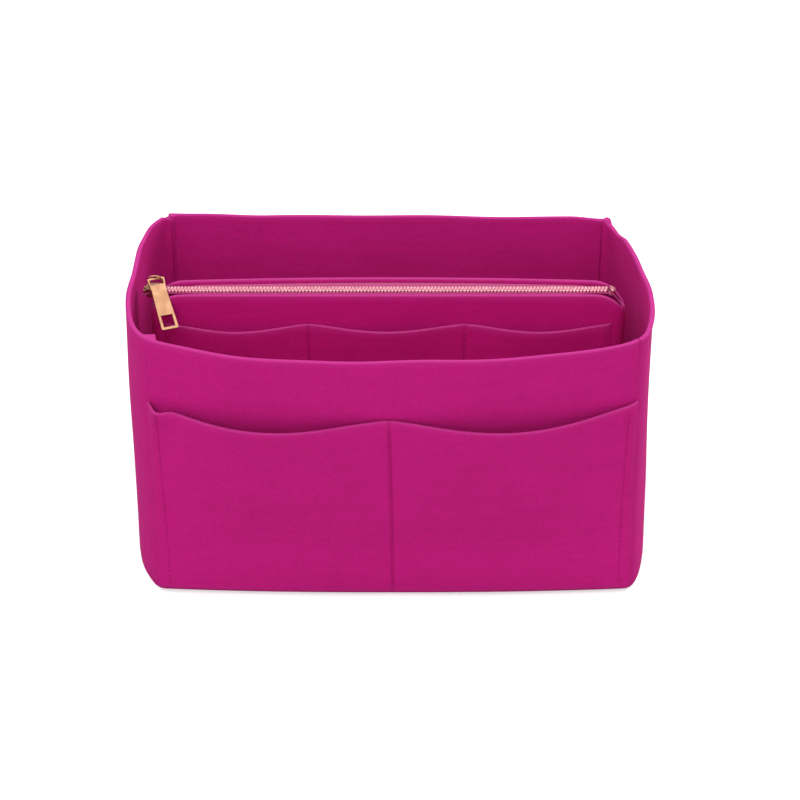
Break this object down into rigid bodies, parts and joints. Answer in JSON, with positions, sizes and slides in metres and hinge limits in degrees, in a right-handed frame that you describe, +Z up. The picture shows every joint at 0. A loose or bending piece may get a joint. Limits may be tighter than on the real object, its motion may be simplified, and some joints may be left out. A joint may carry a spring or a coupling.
{
  "type": "purse organizer insert",
  "caption": "Open felt shell with bulging ends, an outer double pocket, inner slip slots and a lift-out zip pouch standing in the middle.",
  "frame": {"origin": "middle of the base panel's underside", "axes": "+Z up, +X along the long side towards the viewer's right, +Y towards the rear wall"},
  "size_m": [0.316, 0.1893, 0.17],
  "materials": {
    "felt": "matte pressed felt",
    "felt_inner": "matte pressed felt",
    "zip_tape": "woven tape",
    "zip_teeth": "pale gold plated",
    "gold_metal": "polished light gold"
  },
  "bodies": {
    "shell": {"base_panel": "felt", "front_wall": "felt", "rear_wall": "felt", "left_side_wall": "felt", "right_side_wall": "felt", "front_outer_pocket": "felt", "front_inner_pocket": "felt_inner"},
    "pouch": {"pouch_front_panel": "felt_inner", "pouch_rear_panel": "felt_inner", "pouch_slip_pocket": "felt_inner", "zip_tape_front": "zip_tape", "zip_tape_rear": "zip_tape", "zip_teeth_front": "zip_teeth", "zip_teeth_rear": "zip_teeth", "zip_top_stop_front": "gold_metal", "zip_top_stop_rear": "gold_metal", "zip_bottom_stop": "gold_metal"},
    "slider": {"zip_slider": "gold_metal"},
    "pull": {"pull_tab": "gold_metal"}
  },
  "joints": [
    {"name": "pouch_lift", "type": "slide", "parent": "shell", "child": "pouch", "axis": [0, 0, 1], "range_m": [0, 0.18]},
    {"name": "zip_slide", "type": "slide", "parent": "pouch", "child": "slider", "axis": [1, 0, 0], "range_m": [0, 0.265], "deforming": ["zip_teeth_front", "zip_teeth_rear"]},
    {"name": "pull_swing", "type": "hinge", "parent": "slider", "child": "pull", "pos_m": [-0.139, 0, 0.1668], "axis": [-0.9272, -0.3746, 0], "range_deg": [0, 150]}
  ]
}
